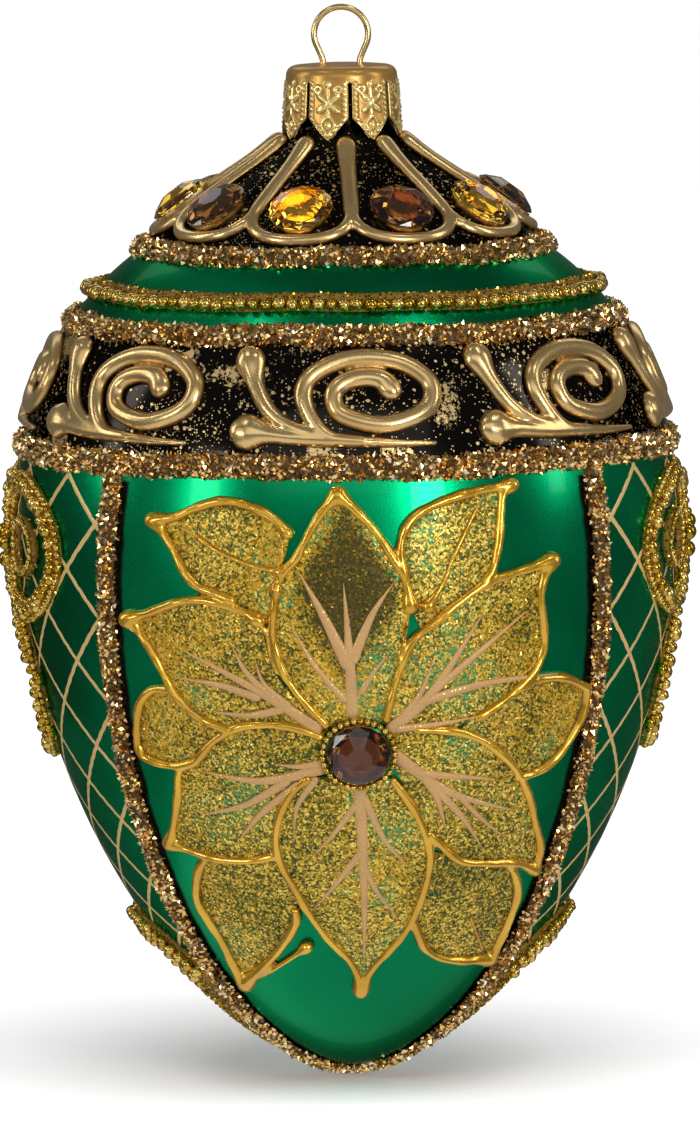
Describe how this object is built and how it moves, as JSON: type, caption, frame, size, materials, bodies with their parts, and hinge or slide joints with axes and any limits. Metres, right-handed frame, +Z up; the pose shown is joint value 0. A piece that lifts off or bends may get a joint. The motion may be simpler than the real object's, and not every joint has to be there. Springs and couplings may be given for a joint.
{
  "type": "jewelled egg ornament",
  "caption": "Hollow glass egg ornament in green and black with gilt relief, glitter braid, cut stones, a raised flower and a stamped cap with a wire loop to hang it by.",
  "frame": {"origin": "hanging point: the inner top of the wire loop, where the hook bears", "axes": "+Z up along the egg's own axis, towards the loop; -Y is the front, with the large flower; +X to its right"},
  "size_m": [0.0914, 0.0886, 0.1402],
  "materials": {
    "green_glass": "green lacquer over silvered glass, glossy, with black enamel zones",
    "cap_gold": "bright gold-plated stamped metal",
    "wire_gold": "polished gold wire",
    "relief_gold": "antique satin gold relief enamel",
    "glitter": "coarse gold and copper glitter granules",
    "bead_gold": "small bright gold beads",
    "petal_gold": "glossy gold relief lines over olive-gold glitter",
    "amber_stone": "foil-backed cut glass, amber",
    "brown_stone": "foil-backed cut glass, brown"
  },
  "bodies": {
    "root": {"back_setting": "bead_gold", "back_stone": "brown_stone", "bead_strand": "bead_gold", "cap": "cap_gold", "flare_stone_01": "amber_stone", "flare_stone_02": "brown_stone", "flare_stone_03": "amber_stone", "flare_stone_04": "brown_stone", "flare_stone_05": "amber_stone", "flare_stone_06": "brown_stone", "flare_stone_07": "amber_stone", "flare_stone_08": "brown_stone", "flare_stone_09": "amber_stone", "flare_stone_10": "brown_stone", "flare_web": "relief_gold", "front_setting": "bead_gold", "front_stone": "brown_stone", "glass_egg": "green_glass", "hanger": "wire_gold", "lower_glitter_band": "glitter", "middle_glitter_band": "glitter", "panel_braid": "glitter", "poinsettia_back": "petal_gold", "poinsettia_front": "petal_gold", "scroll_1": "relief_gold", "scroll_2": "relief_gold", "scroll_3": "relief_gold", "scroll_4": "relief_gold", "scroll_5": "relief_gold", "scroll_6": "relief_gold", "scroll_7": "relief_gold", "scroll_8": "relief_gold", "side_jewel_left": "bead_gold", "side_jewel_right": "bead_gold", "side_swag_left": "bead_gold", "side_swag_right": "bead_gold", "upper_glitter_band": "glitter"}
  },
  "joints": []
}
